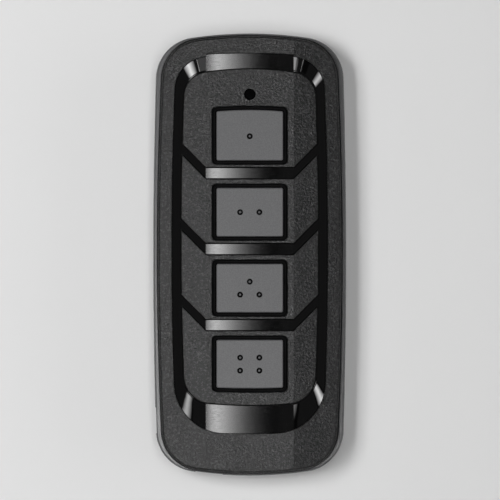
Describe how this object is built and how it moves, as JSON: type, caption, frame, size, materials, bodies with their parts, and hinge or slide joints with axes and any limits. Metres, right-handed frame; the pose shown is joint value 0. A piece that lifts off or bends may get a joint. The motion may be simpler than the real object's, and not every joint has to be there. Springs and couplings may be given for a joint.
{
  "type": "alarm key fob",
  "caption": "Slim alarm remote with satin push keys in a gloss black inlay, an indicator lens and a corner passage for a key ring.",
  "frame": {"origin": "middle of the back face, which the fob lies on", "axes": "+Z out of the front face, +Y along the length towards the indicator lens, +X to the right seen from the front"},
  "size_m": [0.0328, 0.075, 0.012],
  "materials": {
    "case_shell": "black moulded plastic, lightly polished rim",
    "case_face": "black plastic with a spark-eroded grain",
    "gloss_inlay": "high gloss black",
    "silicone": "matt black silicone",
    "smoked_lens": "dark smoked lens",
    "lamp_body": "clear epoxy on white ceramic",
    "board": "green solder resist over glass laminate",
    "cell_steel": "nickel-plated steel",
    "contact_metal": "tin-plated spring steel",
    "chip_body": "moulded epoxy",
    "can_metal": "gold-flashed lid",
    "passive_body": "ceramic",
    "wire": "tinned copper wire",
    "screw_steel": "black zinc-plated steel",
    "key_cap": "satin dark grey",
    "switch_body": "moulded plastic",
    "switch_steel": "stainless steel",
    "switch_stem": "moulded plastic"
  },
  "bodies": {
    "case": {"rear_cover": "case_shell", "front_cover": "case_face", "gloss_trim": "gloss_inlay", "keypad_mat": "silicone", "light_pipe": "smoked_lens", "led": "lamp_body", "pcb": "board", "battery_cell": "cell_steel", "battery_clip": "contact_metal", "battery_spring": "contact_metal", "control_chip": "chip_body", "radio_chip": "chip_body", "crystal": "can_metal", "chip_passives": "passive_body", "antenna_loop": "wire", "case_screws": "screw_steel", "switch_base_1": "switch_body", "switch_cover_1": "switch_steel", "switch_dome_1": "switch_steel", "switch_base_2": "switch_body", "switch_cover_2": "switch_steel", "switch_dome_2": "switch_steel", "switch_base_3": "switch_body", "switch_cover_3": "switch_steel", "switch_dome_3": "switch_steel", "switch_base_4": "switch_body", "switch_cover_4": "switch_steel", "switch_dome_4": "switch_steel"},
    "key_1": {"button_1": "key_cap", "switch_stem_1": "switch_stem"},
    "key_2": {"button_2": "key_cap", "switch_stem_2": "switch_stem"},
    "key_3": {"button_3": "key_cap", "switch_stem_3": "switch_stem"},
    "key_4": {"button_4": "key_cap", "switch_stem_4": "switch_stem"}
  },
  "joints": [
    {"name": "key_1_press", "type": "slide", "parent": "case", "child": "key_1", "axis": [0, 0, -1], "range_m": [0, 0.00025], "stiffness_N_per_m": 4000, "deforming": ["switch_dome_1", "keypad_mat"]},
    {"name": "key_2_press", "type": "slide", "parent": "case", "child": "key_2", "axis": [0, 0, -1], "range_m": [0, 0.00025], "stiffness_N_per_m": 4000, "deforming": ["switch_dome_2", "keypad_mat"]},
    {"name": "key_3_press", "type": "slide", "parent": "case", "child": "key_3", "axis": [0, 0, -1], "range_m": [0, 0.00025], "stiffness_N_per_m": 4000, "deforming": ["switch_dome_3", "keypad_mat"]},
    {"name": "key_4_press", "type": "slide", "parent": "case", "child": "key_4", "axis": [0, 0, -1], "range_m": [0, 0.00025], "stiffness_N_per_m": 4000, "deforming": ["switch_dome_4", "keypad_mat"]}
  ]
}
